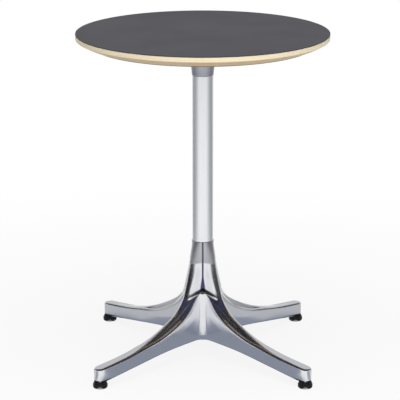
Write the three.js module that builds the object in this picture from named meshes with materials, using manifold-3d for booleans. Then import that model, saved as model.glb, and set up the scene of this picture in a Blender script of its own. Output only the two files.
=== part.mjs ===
// Round pedestal side table: a bevelled plywood top on a cast collar, a slim tube column and
// a cast base with four low legs on screw glides. Millimetres, +Z up. The origin is on the
// floor on the column's axis, and the legs point along the diagonals of X and Y.

import * as THREE from 'three';
import { mergeGeometries, mergeVertices } from 'three/addons/utils/BufferGeometryUtils.js';
import Module from 'manifold-3d';

const wasm = await Module();
wasm.setup();

// Driving sizes of the whole table
const tableHeight = 565;
const topRadius = 212;
const glideReach = 240;
const neckHeight = 205;
const legCount = 4;

// Clearances, and the overrun of a cut past the face it opens
const slipFit = 0.3;
const overrun = 5;
const weld = 0.001;

// Facets round each kind of piece
const topSides = 72;
const columnSides = 36;
const smallSides = 20;
const threadSides = 12;

// Top: laminate, plywood core with a bevelled underside, backing sheet
const laminateThickness = 1.3;
const coreThickness = 19;
const backingThickness = 0.8;
const edgeBand = 6;
const bevelRun = 26;
const bevelBulge = 0.8;
const coreTop = tableHeight - laminateThickness;
const coreBottom = coreTop - coreThickness;
const backingBottom = coreBottom - backingThickness;
const undersideRadius = topRadius - bevelRun;

// Column tube
const tubeRadius = 17.9;
const tubeWall = 2.5;
const tubeBore = tubeRadius - tubeWall;
const spigotRadius = tubeBore - slipFit;
const spigotLength = 25;

// Collar casting under the top
const collarDepth = 50.9;
const collarHeight = backingBottom - collarDepth;
const collarLip = 0.4;
const collarRadius = tubeRadius + collarLip;
const flareRadius = 44;
const flareStraight = 25;
const flareWaist = 1.2;
const flareShoulder = 6;
const flareTurn = 6;
const flareSteps = 7;
const collarWall = 5;
const rodBossRadius = 11;
const plateThickness = 5;
const plateBottom = backingBottom - plateThickness;
const armLength = 122;
const armRootHalfWidth = 13;
const armPadRadius = 16;
const ribThickness = 5;
const ribDepth = 24;
const ribReach = 84;

// Screws that hold the collar casting to the core
const screwReach = 106;
const screwSpread = 8.5;
const screwRadius = 2;
const screwHeadRadius = 4.2;
const screwHeadHeight = 2.6;
const screwHeadRim = 1.2;
const screwGrip = 9;
const screwTip = 2;

// Tie rod, with its nut and washers under the hub's floor
const rodRadius = 5;
const rodCover = 12.9;
const rodTail = 3;
const washerRadius = 10;
const washerThickness = 2;
const lockWasherRadius = 8.6;
const lockWasherThickness = 2.4;
const nutFlats = 16;
const nutSides = 6;
const nutHeight = 8;
const hubFloor = 58;
const rodHoleRadius = rodRadius + slipFit;
const washerBottom = hubFloor - washerThickness;
const lockWasherBottom = washerBottom - lockWasherThickness;
const nutBottom = lockWasherBottom - nutHeight;
const rodBottom = nutBottom - rodTail;
const rodTop = backingBottom - rodCover;

// Base casting: plan of a leg
const neckRadius = 18.7;
const legHalfWidth = 10;
const hubHalfWidth = 15.2;
const taperReach = 140;
const crotchRadius = 8.7;
const creaseInset = 2.5;
const wallDraft = 0.8;
const crotchCentre = hubHalfWidth + crotchRadius;
const crotchFront = Math.SQRT2 * crotchCentre - crotchRadius;

// Base casting: a row of stations from the top of the neck to the tip of a leg. The ridge runs
// out as a share of the glides' reach, valleys are shares of the neck's radius, and all heights
// are shares of the neck's height.
const ridgeOutShares = [0.103, 0.122, 0.154, 0.194, 0.223, 0.262, 0.315, 0.383, 0.479, 0.604, 0.742, 0.867,
  0.971, 1.0146];
const ridgeUpShares = [1, 0.902, 0.78, 0.641, 0.524, 0.473, 0.429, 0.389, 0.35, 0.308, 0.261, 0.2234, 0.2005,
  0.184, 0.1756];
const edgeUpShares = [1, 0.902, 0.78, 0.639, 0.554, 0.541, 0.472, 0.386, 0.325, 0.273, 0.227, 0.193, 0.1776,
  0.1654, 0.1576];
const valleyShares = [1, 0.955, 0.92, 0.935];

// The hollow flank between ridge and crease: how far it reaches in from its edge and rises there,
// as shares of a leg's half width, and which way it runs, as a share of a quarter turn.
const crownShare = 0.52;
const flankReachShares = [0.496, 0.75, 0.95, 1, 0.9, 0.8, 0.7, 0.55, 0.5, 0.45, 0.3, 0.1, 0.05, 0.05, 0.05];
const flankRiseShares = [0, 0, 0, 0, 0.1, 0.1, 0.05, 0, 0, 0.05, 0.2, 0.3, 0.35, 0.3, 0.25];
const flankTurnShares = [0.5, 0.5, 0.5, 0.5, 0.5, 0.78, 0.94, 1, 1, 1, 1, 1, 1, 1, 2];
const flankSteps = 5;

// The side wall starts at the crotch, below the neck's steps. Its run is 0 there, 1 where the
// crotch's curve ends, 2 where the nose starts and 3 at the tip. Each step is split in two.
const neckSteps = 4;
const splitCount = 2;
const runShares = [0, 1, 1.074, 1.167, 1.278, 1.407, 1.556, 1.713, 1.861, 2, 3];
const creaseDropShares = [0.068, 0.05, 0.029, 0.016, 0.013, 0.012, 0.012, 0.012, 0.012, 0.012, 0.012];
const undersideShares = [0.158, 0.157, 0.154, 0.15, 0.1425, 0.128, 0.108, 0.0895, 0.071, 0.0566, 0.0566];

// Base casting: hollow underside, hub and foot
const castingWall = 4.5;
const pocketRoof = 5;
const hubRoof = 92;
const pocketSteps = 8;
const hubBossRadius = 15;
const hubFloorThickness = 12;
const neckBore = 10.5;
const footHeight = neckHeight * undersideShares[undersideShares.length - 1];

// Threaded insert and glide in each foot
const insertRadius = 6.4;
const insertLength = 18;
const studRadius = 3.9;
const studLength = 15;
const studFlangeRadius = 7;
const studFlangeHeight = 2.6;
const studPinRadius = 2.4;
const studPinLength = 2.6;
const glideTopRadius = 10.4;
const glideRimRadius = 12.2;
const glideRimHeight = 1.6;
const discThickness = 4.2;
const discCurve = 3.4;
const discSteps = 3;

// Materials
function finish(color, roughness, metalness) {
  return new THREE.MeshStandardMaterial({ color, roughness, metalness });
}
const laminateGrey = finish(0x505058, 0.55, 0);
const plywood = finish(0xe2cfa0, 0.6, 0);
const backingPaper = finish(0xb89c6c, 0.8, 0);
const polishedAluminium = finish(0xd4d6da, 0.12, 1);
const satinAluminium = finish(0xc2c4c8, 0.35, 1);
const castAluminium = finish(0xa9acb4, 0.45, 1);
const zincSteel = finish(0xb4b6b8, 0.4, 1);
const blackPlastic = finish(0x141416, 0.4, 0);
const nickelSteel = finish(0xc8c8c8, 0.2, 1);

// Geometry helpers

const fullTurn = 2 * Math.PI;
const quarterTurn = fullTurn / 4;
const up = new THREE.Vector3(0, 0, 1);

function flipped(geometry) {
  const turnedOver = geometry.clone();
  const corners = turnedOver.index.array;
  for (let i = 0; i < corners.length; i += 3) {
    [corners[i], corners[i + 1]] = [corners[i + 1], corners[i]];
  }
  return turnedOver;
}

function signedVolume(geometry) {
  const position = geometry.attributes.position;
  const corner = (n) => new THREE.Vector3().fromBufferAttribute(position, geometry.index.getX(n));
  let volume = 0;
  for (let i = 0; i < geometry.index.count; i += 3) {
    volume += corner(i).dot(corner(i + 1).cross(corner(i + 2))) / 6;
  }
  return volume;
}

// Shared corners become one, empty triangles go, and the faces point out.
function closed(geometry) {
  const bare = geometry.clone();
  bare.deleteAttribute('normal');
  bare.deleteAttribute('uv');
  const merged = mergeVertices(bare, weld);
  const corners = merged.index.array;
  const kept = [];
  for (let i = 0; i < corners.length; i += 3) {
    const [a, b, c] = [corners[i], corners[i + 1], corners[i + 2]];
    if (a !== b && b !== c && c !== a) {
      kept.push(a, b, c);
    }
  }
  merged.setIndex(kept);
  return signedVolume(merged) < 0 ? flipped(merged) : merged;
}

function toSolid(geometry) {
  const vertProperties = new Float32Array(geometry.attributes.position.array);
  const triVerts = new Uint32Array(geometry.index.array);
  return new wasm.Manifold(new wasm.Mesh({ numProp: 3, vertProperties, triVerts }));
}

function toGeometry(solid) {
  const mesh = solid.getMesh();
  const geometry = new THREE.BufferGeometry();
  geometry.setAttribute('position', new THREE.BufferAttribute(new Float32Array(mesh.vertProperties), 3));
  geometry.setIndex(Array.from(mesh.triVerts));
  return geometry;
}

function joined(first, ...others) {
  return others.reduce((sum, other) => sum.add(toSolid(other)), toSolid(first));
}

function cut(body, tools) {
  return tools.reduce((rest, tool) => rest.subtract(toSolid(tool)), body);
}

// A turned piece: the profile is a list of [radius, height].
function turned(profile, sides) {
  const points = profile.map(([radius, height]) => new THREE.Vector2(radius, height));
  return closed(new THREE.LatheGeometry(points, sides).rotateX(quarterTurn));
}

function rod(radius, bottom, top, sides) {
  return turned([[0, bottom], [radius, bottom], [radius, top], [0, top]], sides);
}

function ring(outer, inner, bottom, top, sides) {
  return turned([[inner, bottom], [outer, bottom], [outer, top], [inner, top], [inner, bottom]], sides);
}

function extruded(shape, depth) {
  return closed(new THREE.ExtrudeGeometry(shape, { depth, bevelEnabled: false, curveSegments: threadSides }));
}

const table = new THREE.Group();
const legAngles = Array.from({ length: legCount }, (_, n) => (n + 0.5) * (fullTurn / legCount));

function addPiece(name, geometry, material, parent = table) {
  const mesh = new THREE.Mesh(geometry, material);
  mesh.name = name;
  parent.add(mesh);
  return mesh;
}

// Places of the screws: two on the pad of each arm
const screwPlaces = legAngles.flatMap((angle) => [-1, 1].map(
  (side) => new THREE.Vector3(screwReach, side * screwSpread, 0).applyAxisAngle(up, angle),
));

function screwHoles(bottom, top) {
  return screwPlaces.map((place) => {
    const hole = rod(screwRadius + slipFit, bottom, top, threadSides);
    return hole.translate(place.x, place.y, 0);
  });
}

// Top

function coreGeometry() {
  const bandBottom = coreTop - edgeBand;
  const bevelMiddle = [(undersideRadius + topRadius + bevelBulge) / 2, (coreBottom + bandBottom - bevelBulge) / 2];
  const profile = [
    [0, coreBottom],
    [undersideRadius, coreBottom],
    bevelMiddle,
    [topRadius, bandBottom],
    [topRadius, coreTop],
    [0, coreTop],
  ];
  const holes = screwHoles(coreBottom - overrun, coreBottom + screwGrip + slipFit);
  return toGeometry(cut(toSolid(turned(profile, topSides)), holes));
}

function backingGeometry() {
  const sheet = rod(undersideRadius, backingBottom, coreBottom, topSides);
  return toGeometry(cut(toSolid(sheet), screwHoles(backingBottom - overrun, coreBottom + overrun)));
}

// Collar casting: a spigot for the tube, a flared hub and four ribbed arms under the top

function flareProfile() {
  const flare = new THREE.CubicBezierCurve(
    new THREE.Vector2(collarRadius, collarHeight),
    new THREE.Vector2(collarRadius + flareWaist, collarHeight + flareStraight),
    new THREE.Vector2(collarRadius + flareShoulder, plateBottom - flareTurn),
    new THREE.Vector2(flareRadius, plateBottom),
  );
  return flare.getPoints(flareSteps).map((point) => [point.x, point.y]);
}

function hubGeometry() {
  return turned([
    [0, collarHeight - spigotLength],
    [spigotRadius, collarHeight - spigotLength],
    [spigotRadius, collarHeight],
    ...flareProfile(),
    [flareRadius, backingBottom],
    [0, backingBottom],
  ], columnSides);
}

// The hollow between the rod's boss and the flare, open at the top of the casting
function hubHollow() {
  const upperFlare = flareProfile().slice(Math.floor(flareSteps / 2));
  const outside = upperFlare.map(([radius, height]) => [radius - collarWall, height]);
  const floor = [rodBossRadius, outside[0][1]];
  return turned([
    floor,
    ...outside,
    [flareRadius - collarWall, backingBottom + overrun],
    [rodBossRadius, backingBottom + overrun],
    floor,
  ], columnSides);
}

function armGeometry(angle) {
  const padCentre = armLength - armPadRadius;
  const plan = new THREE.Shape();
  plan.moveTo(0, -armRootHalfWidth);
  plan.lineTo(padCentre, -armPadRadius);
  plan.absarc(padCentre, 0, armPadRadius, -quarterTurn, quarterTurn);
  plan.lineTo(0, armRootHalfWidth);
  return extruded(plan, plateThickness).translate(0, 0, plateBottom).rotateZ(angle);
}

function ribGeometry(angle) {
  const plateMiddle = plateBottom + plateThickness / 2;
  const side = new THREE.Shape();
  side.moveTo(rodBossRadius, plateMiddle);
  side.lineTo(rodBossRadius, plateBottom - ribDepth);
  side.lineTo(collarRadius, plateBottom - ribDepth);
  side.lineTo(ribReach, plateBottom);
  side.lineTo(ribReach, plateMiddle);
  return extruded(side, ribThickness).rotateX(quarterTurn).translate(0, ribThickness / 2, 0).rotateZ(angle);
}

function collarGeometry() {
  const arms = legAngles.flatMap((angle) => [armGeometry(angle), ribGeometry(angle)]);
  const rodHole = rod(rodHoleRadius, collarHeight - spigotLength - overrun, rodTop + slipFit, smallSides);
  const holes = screwHoles(plateBottom - overrun, backingBottom + overrun);
  return toGeometry(cut(joined(hubGeometry(), ...arms), [hubHollow(), rodHole, ...holes]));
}

function screwGeometry() {
  return turned([
    [0, plateBottom - screwHeadHeight],
    [screwHeadRadius - screwHeadRim, plateBottom - screwHeadHeight],
    [screwHeadRadius, plateBottom - screwHeadRim],
    [screwHeadRadius, plateBottom],
    [screwRadius, plateBottom],
    [screwRadius, coreBottom + screwGrip - screwTip],
    [0, coreBottom + screwGrip],
  ], threadSides);
}

// Nut under the hub: a six-sided prism, with flats nutFlats apart
function nutGeometry() {
  const prism = rod(nutFlats / Math.sqrt(3), nutBottom, lockWasherBottom, nutSides);
  const bore = rod(rodHoleRadius, nutBottom - overrun, lockWasherBottom + overrun, smallSides);
  return toGeometry(cut(toSolid(prism), [bore]));
}

// Base casting

// A smooth curve through a list of values, read at any place along it
function sample(values, place) {
  const last = values.length - 1;
  const start = Math.min(Math.floor(place), last - 1);
  const part = place - start;
  const [before, from, to, after] = [-1, 0, 1, 2].map((n) => values[Math.min(Math.max(start + n, 0), last)]);
  const slope = to - before;
  const bend = 2 * before - 5 * from + 4 * to - after;
  const twist = 3 * (from - to) + after - before;
  return from + (part / 2) * (slope + part * (bend + part * twist));
}

function halfWidth(out) {
  const taper = THREE.MathUtils.smoothstep(out, crotchCentre, taperReach);
  return THREE.MathUtils.lerp(hubHalfWidth, legHalfWidth, taper);
}

// Plan of the side wall, set in from its outside: [out along the leg, half width]
function outline(run, inset) {
  if (run <= 1) {
    const angle = (2.5 + 0.5 * run) * quarterTurn;
    const radius = crotchRadius + inset;
    return [crotchCentre + radius * Math.cos(angle), crotchCentre + radius * Math.sin(angle)];
  }
  if (run <= 2) {
    const out = THREE.MathUtils.lerp(crotchCentre, glideReach, run - 1);
    return [out, halfWidth(out) - inset];
  }
  const angle = (3 - run) * quarterTurn;
  const radius = legHalfWidth - inset;
  return [glideReach + radius * Math.cos(angle), radius * Math.sin(angle)];
}

const ridgeOut = [neckRadius, ...ridgeOutShares.map((share) => share * glideReach)];
const ridgeUp = ridgeUpShares.map((share) => share * neckHeight);
const edgeUp = edgeUpShares.map((share) => share * neckHeight);
const valleyOut = [...valleyShares.map((share) => share * neckRadius), crotchFront - creaseInset];

function runAt(station) {
  const place = station - neckSteps;
  return THREE.MathUtils.lerp(runShares[Math.floor(place)], runShares[Math.ceil(place)], place % 1);
}

const creaseDropAt = (station) => neckHeight * sample(creaseDropShares, station - neckSteps);
const undersideAt = (station) => neckHeight * sample(undersideShares, station - neckSteps);

function edgePoint(station) {
  const height = sample(edgeUp, station);
  if (station < neckSteps) {
    const reach = sample(valleyOut, station) / Math.SQRT2;
    return new THREE.Vector3(reach, reach, height);
  }
  const [out, aside] = outline(runAt(station), creaseInset);
  return new THREE.Vector3(out, aside, height);
}

// The skin at one station, from the ridge across the hollow flank to the valley or crease
function skinRow(station) {
  const ridge = new THREE.Vector3(sample(ridgeOut, station), 0, sample(ridgeUp, station));
  const edge = edgePoint(station);
  const past = station < neckSteps ? 0 : Math.max(runAt(station) - 2, 0);
  const crownTurn = (1 - past) * quarterTurn;
  const crown = new THREE.Vector3(Math.cos(crownTurn), Math.sin(crownTurn), 0);
  const flankTurn = sample(flankTurnShares, station) * quarterTurn;
  const flank = new THREE.Vector3(Math.cos(flankTurn), -Math.sin(flankTurn), 0);
  const rise = sample(flankRiseShares, station) * legHalfWidth;
  const curve = new THREE.CubicBezierCurve3(
    ridge,
    ridge.clone().addScaledVector(crown, crownShare * legHalfWidth * (1 - past / 2)),
    edge.clone().addScaledVector(flank, sample(flankReachShares, station) * legHalfWidth).addScaledVector(up, rise),
    edge,
  );
  return curve.getPoints(flankSteps);
}

// The side wall below the crease, and the point under it on the leg's centre line
function wallRow(station) {
  const run = runAt(station);
  const underside = undersideAt(station);
  const [creaseOut, creaseAside] = outline(run, 0);
  const [footOut, footAside] = outline(run, -wallDraft);
  const middleOut = Math.min(((footOut - crotchCentre) * glideReach) / (glideReach - crotchCentre), footOut);
  return [
    new THREE.Vector3(creaseOut, creaseAside, sample(edgeUp, station) - creaseDropAt(station)),
    new THREE.Vector3(footOut, footAside, underside),
    new THREE.Vector3(Math.max(middleOut, 0), 0, underside),
  ];
}

// Faces between neighbouring rows of half a leg, mirrored and repeated for all the legs
function legSkin(rows) {
  const corners = [];
  for (let i = 0; i + 1 < rows.length; i += 1) {
    const [near, far] = [rows[i], rows[i + 1]];
    for (let j = 0; j + 1 < Math.min(near.length, far.length); j += 1) {
      corners.push(near[j], far[j], far[j + 1], near[j], far[j + 1], near[j + 1]);
    }
  }
  const half = mergeVertices(new THREE.BufferGeometry().setFromPoints(corners), weld);
  const mirrored = flipped(half).scale(1, -1, 1);
  const copies = legAngles.flatMap((angle) => [half, mirrored].map((side) => side.clone().rotateZ(angle)));
  return closed(mergeGeometries(copies));
}

function stations(first, last) {
  const count = (last - first) * splitCount;
  return Array.from({ length: count + 1 }, (_, n) => first + n / splitCount);
}

function castingSkin() {
  const neckTop = Array.from({ length: flankSteps + 1 }, () => new THREE.Vector3(0, 0, neckHeight));
  const rows = stations(0, ridgeOut.length - 1).map((station) => {
    const wall = station < neckSteps ? [] : wallRow(station);
    return [...skinRow(station), ...wall];
  });
  return legSkin([neckTop, ...rows]);
}

// The hollow underside: it follows the side walls one wall in, and ends before the foot
function pocketRow(station) {
  const [out, aside] = outline(runAt(station), castingWall);
  const roof = Math.min(sample(edgeUp, station) - creaseDropAt(station) - pocketRoof, hubRoof);
  const middleOut = Math.max(out - crotchCentre, 0);
  return [
    new THREE.Vector3(middleOut, 0, roof),
    new THREE.Vector3(out, aside, roof),
    new THREE.Vector3(out, aside, -overrun),
    new THREE.Vector3(middleOut, 0, -overrun),
  ];
}

// A flat end closes each arm of the hollow: its four corners, then one point in their middle.
function pocketGeometry() {
  const rows = stations(neckSteps, neckSteps + pocketSteps).map(pocketRow);
  const last = rows.pop();
  const end = last[1].x;
  const corners = last.map((point) => new THREE.Vector3(end, point.y, point.z));
  const middle = new THREE.Vector3(end, 0, last[1].z / 2);
  return legSkin([...rows, corners, corners.map(() => middle)]);
}

function baseGeometry() {
  const spigotTop = neckHeight + spigotLength;
  const spigot = rod(spigotRadius, neckHeight - overrun, spigotTop, columnSides);
  const boss = rod(hubBossRadius, hubFloor, hubRoof + overrun, columnSides);
  const bore = rod(neckBore, hubFloor + hubFloorThickness, spigotTop + overrun, smallSides);
  const rodHole = rod(rodHoleRadius, hubFloor - overrun, hubFloor + hubFloorThickness + overrun, smallSides);
  const insertHoles = legAngles.map((angle) => {
    const hole = rod(insertRadius + slipFit, footHeight - overrun, footHeight + insertLength + slipFit, smallSides);
    return hole.translate(glideReach, 0, 0).rotateZ(angle);
  });
  const hollowed = cut(joined(castingSkin(), spigot), [pocketGeometry()]);
  return toGeometry(cut(hollowed.add(toSolid(boss)), [bore, rodHole, ...insertHoles]));
}

// Glides: a steel disc on the floor, a black cup that turns on it, and the threaded stud

const cupBottom = discThickness + slipFit;
const cupTop = footHeight - slipFit;
const pocketTop = cupBottom + studFlangeHeight + slipFit;

function discGeometry() {
  const rim = Array.from({ length: discSteps + 1 }, (_, n) => {
    const angle = (n / discSteps) * quarterTurn;
    return [glideRimRadius - discCurve * (1 - Math.sin(angle)), discCurve * (1 - Math.cos(angle))];
  });
  const socket = studPinRadius + slipFit;
  const socketBottom = cupBottom - studPinLength - slipFit;
  return turned([
    [0, 0],
    ...rim,
    [glideRimRadius, discThickness],
    [socket, discThickness],
    [socket, socketBottom],
    [0, socketBottom],
  ], smallSides);
}

function cupGeometry() {
  const pocket = studFlangeRadius + slipFit;
  const bore = studRadius + slipFit;
  return turned([
    [pocket, cupBottom],
    [glideRimRadius, cupBottom],
    [glideRimRadius, cupBottom + glideRimHeight],
    [glideTopRadius, cupTop],
    [bore, cupTop],
    [bore, pocketTop],
    [pocket, pocketTop],
    [pocket, cupBottom],
  ], smallSides);
}

function studGeometry() {
  return turned([
    [0, cupBottom - studPinLength],
    [studPinRadius, cupBottom - studPinLength],
    [studPinRadius, cupBottom],
    [studFlangeRadius, cupBottom],
    [studFlangeRadius, cupBottom + studFlangeHeight],
    [studRadius, cupBottom + studFlangeHeight],
    [studRadius, footHeight + studLength],
    [0, footHeight + studLength],
  ], threadSides);
}

function insertGeometry() {
  return ring(insertRadius, studRadius + slipFit, footHeight, footHeight + insertLength, threadSides);
}

// The assembly

addPiece('top_laminate', rod(topRadius, coreTop, tableHeight, topSides), laminateGrey);
addPiece('plywood_core', coreGeometry(), plywood);
addPiece('backing_sheet', backingGeometry(), backingPaper);
addPiece('collar_casting', collarGeometry(), castAluminium);
screwPlaces.forEach((place, n) => {
  addPiece(`top_screw_${n + 1}`, screwGeometry(), zincSteel).position.copy(place);
});

addPiece('column_tube', ring(tubeRadius, tubeBore, neckHeight, collarHeight, columnSides), satinAluminium);
addPiece('tie_rod', rod(rodRadius, rodBottom, rodTop, smallSides), zincSteel);
addPiece('tie_rod_washer', ring(washerRadius, rodHoleRadius, washerBottom, hubFloor, smallSides), zincSteel);
addPiece('tie_rod_lock_washer', ring(lockWasherRadius, rodHoleRadius, lockWasherBottom, washerBottom, smallSides),
  zincSteel);
addPiece('tie_rod_nut', nutGeometry(), zincSteel);
addPiece('base_casting', baseGeometry(), polishedAluminium);

legAngles.forEach((angle, n) => {
  const foot = new THREE.Group();
  foot.position.set(glideReach, 0, 0).applyAxisAngle(up, angle);
  foot.rotation.z = angle;
  table.add(foot);
  addPiece(`foot_insert_${n + 1}`, insertGeometry(), zincSteel, foot);
  addPiece(`glide_stud_${n + 1}`, studGeometry(), zincSteel, foot);
  addPiece(`glide_cup_${n + 1}`, cupGeometry(), blackPlastic, foot);
  addPiece(`glide_disc_${n + 1}`, discGeometry(), nickelSteel, foot);
});

export default table;
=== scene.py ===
# %% [markdown]
# # A round side table with a cast base
#
# The table has a thin round top, a slim metal column and a polished cast base with four low legs.
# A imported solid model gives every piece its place. This lesson makes the fine surfaces that stand
# for those solids, then their finishes, then the light and the camera.
#
# All lengths in the lesson are millimetres, as on a workshop drawing. Blender works in metres, so
# a helper turns one into the other where the points of a mesh are made.

# %% Load the solid model
import math

import bmesh
import bpy
from mathutils import Matrix, Vector
from mathutils.geometry import interpolate_bezier


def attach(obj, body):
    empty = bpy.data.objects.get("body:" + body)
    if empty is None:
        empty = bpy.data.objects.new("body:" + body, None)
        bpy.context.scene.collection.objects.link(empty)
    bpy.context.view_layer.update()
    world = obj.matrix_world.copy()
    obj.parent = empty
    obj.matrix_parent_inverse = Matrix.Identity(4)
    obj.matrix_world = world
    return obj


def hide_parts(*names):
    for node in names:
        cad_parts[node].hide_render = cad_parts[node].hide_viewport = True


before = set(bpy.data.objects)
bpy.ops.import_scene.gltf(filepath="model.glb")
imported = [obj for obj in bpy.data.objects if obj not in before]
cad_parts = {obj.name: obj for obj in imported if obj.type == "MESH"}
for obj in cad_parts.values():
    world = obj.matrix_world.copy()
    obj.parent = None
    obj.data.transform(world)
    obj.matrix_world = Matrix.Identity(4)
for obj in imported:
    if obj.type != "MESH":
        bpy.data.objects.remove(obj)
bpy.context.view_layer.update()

MM = 0.001

# %% [markdown]
# ## Turned pieces
#
# The top, the column, the glides and the washers are all round. Such a piece could be made from a
# cylinder whose rings are pushed in and out. Here its outline is drawn once on one side of the
# axis and spun, because the outline is what a lathe operator reads from a drawing.
#
# A real edge is never perfectly sharp, and a tiny round on it catches the light. The second helper
# finds the edges that turn by more than a few degrees and bevels them.


# %% Spin an outline, round its edges
def turned(outline, steps, bm=None):
    """Spins a list of (radius, height) round the Z axis."""
    bm = bm or bmesh.new()
    points = [bm.verts.new((radius * MM, 0, height * MM)) for radius, height in outline]
    lines = [bm.edges.new(pair) for pair in zip(points, points[1:])]
    bmesh.ops.spin(
        bm, geom=points + lines, axis=(0, 0, 1), cent=(0, 0, 0), angle=math.tau, steps=steps, use_merge=True
    )
    bmesh.ops.remove_doubles(bm, verts=bm.verts, dist=0.001 * MM)
    bmesh.ops.recalc_face_normals(bm, faces=bm.faces)
    return bm


def round_edges(bm, width, segments=3, sharper_than=35):
    """Bevels every edge where two faces meet at more than an angle in degrees."""
    limit = math.radians(sharper_than)
    sharp = [edge for edge in bm.edges if edge.is_manifold and edge.calc_face_angle() > limit]
    bmesh.ops.bevel(
        bm, geom=sharp, offset=width * MM, offset_type="OFFSET", affect="EDGES",
        segments=segments, profile=0.5, material=-1, clamp_overlap=True,
    )
    return bm


# %% [markdown]
# ## From a mesh to a piece of the table
#
# Each finished mesh becomes an object that moves with one body of the solid model and stands for
# one of its solids. Its faces are shaded smooth, except across real corners.


# %% Add a piece
def add_piece(name, bm, finish, slot, body, *solids, smooth_below=40):
    mesh = bpy.data.meshes.new(name)
    bm.to_mesh(mesh)
    bm.free()
    mesh.shade_smooth()
    mesh.set_sharp_from_angle(angle=math.radians(smooth_below))
    mesh.materials.append(finish)
    piece = bpy.data.objects.new(name, mesh)
    bpy.context.scene.collection.objects.link(piece)
    if smooth_below < 90:
        flats = piece.modifiers.new("flats stay flat", "WEIGHTED_NORMAL")
        flats.keep_sharp = True
    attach(piece, body)
    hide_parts(*solids)
    print(f"{name}: {len(mesh.polygons)} faces, up to {max(v.co.z for v in mesh.vertices) / MM:.1f} mm high")
    return piece


# %% [markdown]
# ## A helper for finishes
#
# Each finish is a small network of nodes that ends in one Principled shader. The values that are
# the same all over are set on the shader itself. What varies, such as grain, specks and polishing
# marks, comes from noise and from sums that read the piece's own coordinates in metres. A noise
# scale of 1000 therefore makes features about a millimetre wide.


# %% Start a finish, add and join its nodes
def start_finish(name, color, roughness, metallic=0.0, **constants):
    finish = bpy.data.materials.new(name)
    finish.use_nodes = True
    shader = finish.node_tree.nodes["Principled BSDF"]
    shader.inputs["Base Color"].default_value = (*color, 1)
    shader.inputs["Roughness"].default_value = roughness
    shader.inputs["Metallic"].default_value = metallic
    for socket, value in constants.items():
        shader.inputs[socket.replace("_", " ")].default_value = value
    return finish, shader


def add_node(finish, kind, settings, **inputs):
    """Adds a node. An input is a plain value or the socket that feeds it."""
    made = finish.node_tree.nodes.new("ShaderNode" + kind)
    for setting, value in settings.items():
        setattr(made, setting, value)
    for name, value in inputs.items():
        socket = made.inputs[int(name[1:])] if name[0] == "n" and name[1:].isdigit() else made.inputs[name]
        join(finish, value, socket)
    return made


def join(finish, value, socket):
    if isinstance(value, bpy.types.NodeSocket):
        finish.node_tree.links.new(value, socket)
    else:
        socket.default_value = value


def place(finish, scale=(1, 1, 1)):
    """The piece's own coordinates, stretched along each axis."""
    coordinates = add_node(finish, "TexCoord", {})
    return add_node(finish, "Mapping", {}, Vector=coordinates.outputs["Object"], Scale=scale).outputs["Vector"]


def noise(finish, where, scale, detail=3.0):
    made = add_node(finish, "TexNoise", {}, Vector=where, Scale=scale, Detail=detail)
    return made.outputs["Fac"]


def between(finish, amount, low, high):
    """Turns 0 to 1 into a range of values."""
    return add_node(finish, "MapRange", {}, Value=amount, n3=low, n4=high).outputs["Result"]


def step(finish, amount, start, end):
    """Rises softly from 0 to 1 as the amount goes from start to end."""
    soft = add_node(finish, "MapRange", {"interpolation_type": "SMOOTHSTEP"}, Value=amount, n1=start, n2=end)
    return soft.outputs["Result"]


def maths(finish, operation, *values):
    made = add_node(finish, "Math", {"operation": operation})
    for value, socket in zip(values, made.inputs):
        join(finish, value, socket)
    return made.outputs[0]


def blended(finish, amount, first, second):
    """Mixes two colours, each a colour or a socket."""
    mix = add_node(finish, "Mix", {"data_type": "RGBA"})
    join(finish, amount, mix.inputs[0])
    join(finish, (*first, 1) if isinstance(first, tuple) else first, mix.inputs[6])
    join(finish, (*second, 1) if isinstance(second, tuple) else second, mix.inputs[7])
    return mix.outputs[2]


def mixed(finish, amount, first, second):
    """Mixes two plain values, each a number or a socket."""
    return add_node(finish, "Mix", {}, n0=amount, n2=first, n3=second).outputs[0]


def raised(finish, shader, height, depth, strength=1.0):
    """Adds bump from a height of 0 to 1, a given depth in millimetres at most."""
    bump = add_node(finish, "Bump", {}, Height=height, Distance=depth * MM, Strength=strength)
    join(finish, bump.outputs["Normal"], shader.inputs["Normal"])


# %% [markdown]
# ## The finish of the top
#
# The top is faced with a matt, dark grey plastic laminate. From a step away it is one even colour.
# Close up it has a fine pebbled texture and faint specks, and its shine varies a little where it
# has been wiped. A flat grey would look like paper, so each of these gets a noise of its own size.

# %% Laminate
SPECK_SCALE = 1400
laminate, laminate_shader = start_finish(
    "charcoal_laminate", (0.045, 0.045, 0.055), 0.5, Specular_IOR_Level=0.35
)
laminate_place = place(laminate)
specks = noise(laminate, laminate_place, SPECK_SCALE, 2.0)
clouds = noise(laminate, laminate_place, 9, 4.0)
join(laminate, blended(laminate, specks, (0.039, 0.039, 0.049), (0.052, 0.052, 0.064)),
     laminate_shader.inputs["Base Color"])
join(laminate, between(laminate, clouds, 0.44, 0.58), laminate_shader.inputs["Roughness"])
raised(laminate, laminate_shader, noise(laminate, laminate_place, 1100, 3.0), 0.05, 0.5)
print("Laminate: specks about", round(1 / SPECK_SCALE / MM, 1), "mm wide")
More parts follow.
